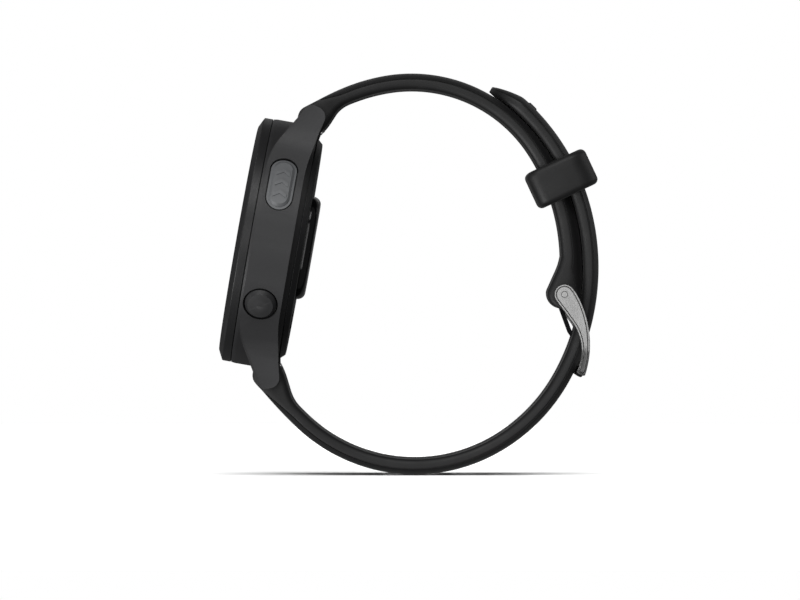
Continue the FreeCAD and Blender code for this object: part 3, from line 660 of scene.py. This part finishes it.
def hole_cutter(marks, thickness):
    """All strap holes as one mesh of pills that flare at both faces of the strap."""
    half_straight = (HOLE_LENGTH - HOLE_WIDTH) / 2
    bm = bmesh.new()
    for centre, radius, angle in marks:
        inner = radius - thickness
        radial = (cos(radians(angle)), sin(radians(angle)))
        tangent = (-radial[1], radial[0])
        flare = ((inner - 0.6, 0.3), (inner - 0.06, 0.3), (inner + 0.1, 0.12), (inner + 0.24, 0.0),
                 (radius - 0.24, 0.0), (radius - 0.1, 0.12), (radius + 0.06, 0.3), (radius + 0.6, 0.3))
        rings = []
        for height, grow in flare:
            reach = HOLE_WIDTH / 2 + grow
            ring = []
            for end_sign in (1, -1):
                for i in range(13):
                    turn = radians(-90 + 15 * i)
                    along = end_sign * (half_straight + reach * cos(turn))
                    across = end_sign * reach * sin(turn)
                    ring.append(place(centre[0] + radial[0] * height + tangent[0] * along, across,
                                      centre[1] + radial[1] * height + tangent[1] * along))
            rings.append(ring)
        loft(bm, rings)
    return mesh_object("holes", bm)


def raise_to_long_strap(station):
    """Raises the crown of the short strap where it fills the space under the long strap.

    The lift fades in over 5 degrees above the buckle and out over 15 degrees at the far end.
    """
    outer, inner, drop, crown, half = station
    centre, radius, _, end = lower_path[OVERLAP_ARC]
    angle = degrees(atan2(outer[1] - centre[1], outer[0] - centre[0]))
    if not -14.0 < angle < 60.0:
        return station
    fade = smooth_step((angle + 12.5) / 5.0)
    if angle > end:
        centre, radius = lower_path[OVERLAP_ARC + 1][:2]
    reach = hypot(outer[0] - centre[0], outer[1] - centre[1])
    lift = max(0.0, radius - LONG_THICKNESS - OVERLAP_GAP - reach) * fade
    lift *= 1.0 - smooth_step((angle - 40.0) / 15.0)
    thickness = hypot(outer[0] - inner[0], outer[1] - inner[1])
    direction = ((outer[0] - inner[0]) / thickness, (outer[1] - inner[1]) / thickness)
    raised = (outer[0] + direction[0] * lift, outer[1] + direction[1] * lift)
    return raised, inner, drop + lift, crown, half


def tip_profile(stations, path, thickness):
    """Thins the end of the long strap and rounds it in plan."""
    centre, radius, _, end = path[-1]
    shaped = []
    for station in stations:
        outer, _, drop, crown, half = station
        angle = degrees(atan2(outer[1] - centre[1], outer[0] - centre[0]))
        reach = hypot(outer[0] - centre[0], outer[1] - centre[1])
        to_end = end - angle
        if abs(reach - radius) > 0.02 or not 0 <= to_end < 20:
            shaped.append(station)
            continue
        taper = max(0.0, TIP_TAPER - to_end)
        top = radius - TIP_THINNING * (taper / TIP_TAPER) ** 1.15
        low = radius - thickness + 0.12 * smooth_step((2.0 - to_end) / 2.0)
        width = half
        left = radians(to_end) * radius
        if left < TIP_CORNER:
            width = half - TIP_CORNER + (TIP_CORNER ** 2 - (TIP_CORNER - left) ** 2) ** 0.5 * 0.999
        fade = smooth_step((to_end - 0.2) / 8.0)
        shaped.append((polar(centre, top, angle), polar(centre, low, angle), drop * (0.45 + 0.55 * fade),
                       crown * (0.35 + 0.65 * fade), max(width, TIP_HALF_WIDTH)))
    return shaped


def knuckle_pairs(path, thickness, count=30):
    """Matching outer and inner points from the end of the short strap round its buckle knuckle."""
    centre, radius, _, end = path[-1]
    waist = (BUCKLE_PIN[0] - 0.7, BUCKLE_PIN[1] + 5.4)
    outer_arc = arc_points(KNUCKLE, KNUCKLE_RADIUS, 10.0, -82.0, 12)
    inner_arc = arc_points(KNUCKLE, KNUCKLE_RADIUS, 172.0, 262.0, 12)
    outer_start = [polar(centre, radius, end), polar(centre, radius - 0.1, end - 1.5)]
    inner_start = [polar(centre, radius - thickness, end), waist]
    outer = rounded_line(outer_start + outer_arc, [0.3] * 12, count)
    inner = rounded_line(inner_start + inner_arc, [1.4] + [0.2] * 11, count)
    return list(zip(outer, inner))


def finish_band(piece, body, *replaced):
    """Silicone material, moving body and CAD nodes of one band piece."""
    piece.data.materials.clear()
    piece.data.materials.append(finishes["band"])
    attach(piece, body)
    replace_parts(piece, *replaced)


def make_long_strap():
    """6 o'clock strap with its holes, thinned tip and lever notch."""
    stations = band_stations(-1, lower_path, LONG_THICKNESS, -135.2, (11.95, 21.7), 7.5)
    stations = tip_profile(stations, lower_path, LONG_THICKNESS)
    bm = bmesh.new()
    loft(bm, strap_rings(stations))
    strap = mesh_object("long_strap_band", bm)
    marks = hole_places(lower_path, OVERLAP_ARC, HOLE_ANGLE, LONG_THICKNESS)
    cut(strap, [hole_cutter(marks, LONG_THICKNESS), lever_notch(-1)])
    finish_band(strap, "long_strap", "hole_strap")


def make_tip_rib():
    """Low rib across the long strap near its end, to pull it by."""
    centre, radius, _, end = lower_path[-1]
    half_top = RIB_HALF_WIDTH - 0.2
    sunk = radius - 0.6
    foot = radius + 0.02
    crest = radius + RIB_HEIGHT
    bm = bmesh.new()
    rings = []
    for offset, top in ((-1.4, foot), (-1.1, crest), (0.0, crest), (1.1, crest), (1.4, foot)):
        angle = end - RIB_ANGLE + offset
        outline = ((-RIB_HALF_WIDTH, foot), (-half_top, top), (half_top, top), (RIB_HALF_WIDTH, foot),
                   (RIB_HALF_WIDTH, sunk), (-RIB_HALF_WIDTH, sunk))
        rings.append([place_at(polar(centre, height, angle), across) for across, height in outline])
    loft(bm, rings)
    rib = mesh_object("tip_rib", bm)
    rib.data.materials.append(finishes["band"])
    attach(rib, "long_strap")


def make_short_strap():
    """12 o'clock strap with its buckle knuckle, the gap for the tongue and the lever notch."""
    stations = band_stations(1, upper_path, THICKNESS, 112.4, (12.0, 22.0), 4.5)
    stations = [raise_to_long_strap(station) for station in stations]
    end_drop = 0.2
    full_drop = THICKNESS - SIDE_HEIGHT
    pairs = knuckle_pairs(upper_path, THICKNESS)
    for index, (outer, inner) in enumerate(pairs[1:], 1):
        fade = 1 - smooth_step(index / len(pairs) * 1.3)
        station = (outer, inner, end_drop + (full_drop - end_drop) * fade, fade, HALF_WIDTH)
        stations.append(raise_to_long_strap(station) if index < len(pairs) * 0.62 else station)
    bm = bmesh.new()
    loft(bm, strap_rings(stations))
    strap = mesh_object("short_strap_band", bm)
    gap = bmesh.new()
    loft(gap, [circle(KNUCKLE, 3.6, y, 48) for y in (-TONGUE_GAP, TONGUE_GAP)])
    cut(strap, [mesh_object("gap", gap), lever_notch(1)])
    finish_band(strap, "short_strap", "buckle_strap")


# ------------------------------------------------------------------ keeper loop


def rounded_rectangle(half_a, half_b, radii, count=7):
    """Ring of (a, b) points; radii are for the corners (+,+), (-,+), (-,-), (+,-)."""
    points = []
    corners = ((1, 1, 0), (-1, 1, 90), (-1, -1, 180), (1, -1, 270))
    for (sign_a, sign_b, first), radius in zip(corners, radii):
        centre = (sign_a * (half_a - radius), sign_b * (half_b - radius))
        points += [polar(centre, radius, first + 90 * i / (count - 1)) for i in range(count)]
    return points


def make_keeper():
    """Soft loop round both straps, with rounded rims and softer corners on its outer side."""
    bm = bmesh.new()
    half_length = KEEPER_LENGTH / 2
    x, z = polar(OVERLAP_CENTRE, KEEPER_RADIUS, KEEPER_PLACE)
    radial = (cos(radians(KEEPER_ANGLE)), sin(radians(KEEPER_ANGLE)))
    tangent = (-radial[1], radial[0])

    def row_point(a, across, along):
        return place(x + radial[0] * a + tangent[0] * along, across, z + radial[1] * a + tangent[1] * along)

    outer_round = 1.0
    rim = []
    for i in range(7):
        turn = radians(15 * i)
        rim.append((-half_length + outer_round * (1 - cos(turn)), outer_round * (1 - sin(turn))))
    middle = [(-half_length * 0.4, 0.0), (half_length * 0.4, 0.0)]
    outer_side = rim + middle + [(-along, inset) for along, inset in rim[::-1]]
    inner_round = 0.35
    inner_side = []
    for sign, turns in ((1, (0, 30, 60, 90)), (-1, (90, 60, 30, 0))):
        for turn in turns:
            inner_side.append((sign * (half_length - inner_round * (1 - sin(radians(turn)))),
                               inner_round * (1 - cos(radians(turn)))))
    rings = []
    for along, inset in outer_side:
        ring = rounded_rectangle(KEEPER_HEIGHT / 2 - inset, KEEPER_HALF_WIDTH - inset, KEEPER_CORNERS)
        rings.append([row_point(a, b, along) for a, b in ring])
    for along, inset in inner_side:
        ring = rounded_rectangle(KEEPER_SPACE / 2 + inner_round - inset,
                                 KEEPER_HALF_WIDTH - KEEPER_SIDE + inner_round - inset,
                                 [KEEPER_INNER_CORNER] * 4)
        rings.append([row_point(a, b, along) for a, b in ring])
    rows = loft(bm, rings, capped=False)
    count = len(rows[0])
    for i in range(count):
        j = (i + 1) % count
        bm.faces.new((rows[-1][i], rows[-1][j], rows[0][j], rows[0][i]))
    keeper = mesh_object("keeper_loop_band", bm)
    finish_band(keeper, "keeper", "keeper_loop")


# ------------------------------------------------------------------ buckle


def arm_outline():
    """Closed (x, z) outline of one buckle arm, its boss and its curved lower end."""
    outer = arc_points((13.5, 22.73), 17.89, 31.0, -16.2, 34)
    inner = through_three((29.05, 17.95), (29.85, 22.7), (28.1, 26.9), 16)
    straight = [(26.9, 28.55)]
    boss = arc_points(BUCKLE_PIN, ARM_BOSS, 216.0, 30.0, 22)
    corner = [(30.55, 17.35), (30.2, 17.3), (29.4, 17.62)]
    return outer + corner + inner + straight + boss


def through_three(a, b, c, count):
    """Points of the arc through three points."""
    (ax, ay), (bx, by), (cx, cy) = a, b, c
    d = 2 * (ax * (by - cy) + bx * (cy - ay) + cx * (ay - by))
    sa, sb, sc = ax * ax + ay * ay, bx * bx + by * by, cx * cx + cy * cy
    centre = ((sa * (by - cy) + sb * (cy - ay) + sc * (ay - by)) / d,
              (sa * (cx - bx) + sb * (ax - cx) + sc * (bx - ax)) / d)
    radius = hypot(ax - centre[0], ay - centre[1])
    start = degrees(atan2(ay - centre[1], ax - centre[0]))
    end = degrees(atan2(cy - centre[1], cx - centre[0]))
    return arc_points(centre, radius, start, end, count)


def inset_outline(outline, distance):
    """Outline moved inwards along the mean normal of its two sides at each point."""
    area = sum(p[0] * q[1] - q[0] * p[1] for p, q in zip(outline, outline[1:] + outline[:1]))
    turn = 1 if area > 0 else -1
    moved = []
    for index, point in enumerate(outline):
        before = outline[index - 1]
        after = outline[(index + 1) % len(outline)]
        along = Vector((after[0] - before[0], after[1] - before[1])).normalized()
        moved.append((point[0] - along.y * distance * turn, point[1] + along.x * distance * turn))
    return moved


def make_buckle_arms():
    """Two satin arms with bevelled edges and a ring cut round each pin head."""
    bm = bmesh.new()
    outline = resample_closed(arm_outline(), 120)
    profile = ((FRAME_INNER, 0.16), (FRAME_INNER + 0.12, 0.02), (FRAME_INNER + 0.3, 0.0),
               (FRAME_OUTER - 0.2, 0.0), (FRAME_OUTER - 0.06, 0.05), (FRAME_OUTER, 0.12),
               (FRAME_OUTER, 0.28), (FRAME_OUTER - 0.2, 0.39), (FRAME_OUTER, 0.5), (FRAME_OUTER, 0.6))
    for side in (-1, 1):
        rings = []
        for reach, inset in profile:
            rings.append([place(x, side * (reach - end_tuck(z)), z)
                          for x, z in inset_outline(outline, inset)])
        loft(bm, rings)
    arms = mesh_object("buckle_arms", bm)
    heads = bmesh.new()
    for side in (-1, 1):
        loft(heads, [circle(BUCKLE_PIN, PIN_HEAD + grow, side * reach, 24)
                     for reach, grow in ((FRAME_INNER - 0.3, 0.0), (FRAME_OUTER - 0.12, 0.0),
                                         (FRAME_OUTER, 0.07), (FRAME_OUTER + 0.3, 0.25))])
    cut(arms, [mesh_object("heads", heads)])
    arms.data.materials.clear()
    arms.data.materials.append(finishes["buckle"])
    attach(arms, "buckle")
    return arms


def end_tuck(z):
    """How far the lower end of an arm turns in towards the end bar."""
    below = max(0.0, ARM_BEND - z)
    bend = min(below, 1.0)
    return ARM_LEAN * (bend ** 2 / 2 + below - bend)


def resample_closed(points, count):
    """`count` points evenly spaced round a closed line."""
    return resample(points + points[:1], count + 1)[:-1]


def make_end_bar():
    """Rounded cross bar that the tongue rests on, with a notch for it, in steel painted near black as painted
    shade.
    """
    centre = lower_path[OVERLAP_ARC][0]
    low, high = BAR_REACH
    upper, lower = BAR_ENDS
    corners = [Vector(polar(centre, reach, angle))
               for reach, angle in ((low, upper), (high, upper), (high, lower), (low, lower))]
    outline = []
    for index, corner in enumerate(corners):
        a = (corners[index - 1] - corner).normalized() * BAR_ROUND
        b = (corners[(index + 1) % 4] - corner).normalized() * BAR_ROUND
        for i in range(6):
            t = i / 5
            p = corner + a * (1 - t) ** 2 + b * t ** 2
            outline.append((hypot(p.x - centre[0], p.y - centre[1]),
                            degrees(atan2(p.y - centre[1], p.x - centre[0]))))
    widest = FRAME_INNER - 0.75
    bm = bmesh.new()
    rings = []
    for across in (-widest, -widest + 0.1, -FRAME_INNER * 0.5, -1.9, -1.3, -1.2, 1.2, 1.3, 1.9,
                   FRAME_INNER * 0.5, widest - 0.1, widest):
        top = high - BAR_NOTCH * smooth_step((1.9 - abs(across)) / 0.6)
        rings.append([place_at(polar(centre, min(reach, top), angle), across) for reach, angle in outline])
    loft(bm, rings)
    bar = mesh_object("buckle_end_bar", bm)
    # painted shade: the bar's steel is made near black
    bar.data.materials.append(finishes["shade_dark_steel"])
    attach(bar, "buckle")


make_long_strap()
make_tip_rib()
make_short_strap()
make_keeper()
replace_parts(make_buckle_arms(), "buckle_frame")
make_end_bar()


# ------------------------------------------------------------------ floor, lights and camera


def make_floor():
    """Wide plain white sheet that the band stands on."""
    bm = bmesh.new()
    bmesh.ops.create_grid(bm, x_segments=8, y_segments=8, size=0.45)
    floor = mesh_object("studio_floor", bm)
    material = bpy.data.materials.new("studio_floor")
    n = Nodes(material)
    n.link(n.tint(n.noise(0.02), (0.93, 0.93, 0.93), 0.99, 1.0), n.shader.inputs["Base Color"])
    n.shader.inputs["Roughness"].default_value = 1.0
    n.shader.inputs["Specular IOR Level"].default_value = 0.0
    floor.data.materials.append(material)
    floor.visible_diffuse = False
    floor.visible_glossy = False
    floor.visible_shadow = False
    return floor


def softbox(name, location, target, width, height, radiance):
    """Rectangular light of the given brightness, facing a target point."""
    data = bpy.data.lights.new(name, "AREA")
    data.shape = "RECTANGLE"
    data.size = width
    data.size_y = height
    data.energy = radiance * pi * width * height
    light = bpy.data.objects.new(name, data)
    light.location = location
    light.rotation_euler = (Vector(target) - Vector(location)).to_track_quat("-Z", "Y").to_euler()
    light.visible_camera = False
    bpy.context.scene.collection.objects.link(light)
    return light


def shine_on(light, receivers):
    """Lets a light fall only on the given objects; every object still casts its shadow there."""
    group = bpy.data.collections.new(light.name + "_receivers")
    for receiver in receivers:
        group.objects.link(receiver)
    light.light_linking.receiver_collection = group


def make_world():
    """White backdrop for the eye, and a dimmer room for the light that falls on the object."""
    world = bpy.data.worlds.new("studio")
    world.use_nodes = True
    bpy.context.scene.world = world
    tree = world.node_tree
    tree.nodes.clear()
    output = tree.nodes.new("ShaderNodeOutputWorld")
    mix = tree.nodes.new("ShaderNodeMixShader")
    path = tree.nodes.new("ShaderNodeLightPath")
    room = tree.nodes.new("ShaderNodeBackground")
    backdrop = tree.nodes.new("ShaderNodeBackground")
    room.inputs["Color"].default_value = (1.0, 1.0, 1.0, 1.0)
    room.inputs["Strength"].default_value = 0.09
    backdrop.inputs["Color"].default_value = (1.0, 1.0, 1.0, 1.0)
    backdrop.inputs["Strength"].default_value = 1.0
    tree.links.new(path.outputs["Is Camera Ray"], mix.inputs["Fac"])
    tree.links.new(room.outputs["Background"], mix.inputs[1])
    tree.links.new(backdrop.outputs["Background"], mix.inputs[2])
    tree.links.new(mix.outputs["Shader"], output.inputs["Surface"])


def make_camera():
    """Level view along +Y from well away, framed as a long lens would."""
    data = bpy.data.cameras.new("camera")
    data.sensor_width = 36.0
    distance = 1.4
    view_width = 0.13986
    data.lens = data.sensor_width * distance / view_width
    data.shift_x = -0.0102
    data.shift_y = -0.0349
    data.clip_start = 0.05
    data.clip_end = 20.0
    camera = bpy.data.objects.new("camera", data)
    camera.location = (-0.0001, -distance, 0.0353)
    camera.rotation_euler = (radians(90), 0.0, 0.0)
    bpy.context.scene.collection.objects.link(camera)
    bpy.context.scene.camera = camera


centre = (cad_box[0] + cad_box[1]) / 2
floor = make_floor()
make_world()
make_camera()
floor_light = softbox("overhead", (0.0, -0.1, 1.1), (0.0, 0.0, 0.0), 1.8, 1.8, 2.8)
shine_on(floor_light, [floor])
softbox("front", (-0.2, -1.5, 0.15), centre, 1.0, 0.6, 1.6)
softbox("top", (-0.15, -0.9, 1.0), centre, 1.0, 0.7, 2.8)
softbox("low", (-0.9, -0.9, -0.6), centre, 1.0, 0.7, 4.4)
softbox("face_side", (-1.4, -0.1, 0.3), centre, 0.8, 0.8, 0.7)
softbox("buckle_side", (1.3, 0.3, 0.5), centre, 0.8, 0.8, 0.9)
softbox("behind", (0.1, 1.2, 0.6), centre, 1.2, 0.6, 0.25)
bpy.context.scene.view_settings.view_transform = "Standard"
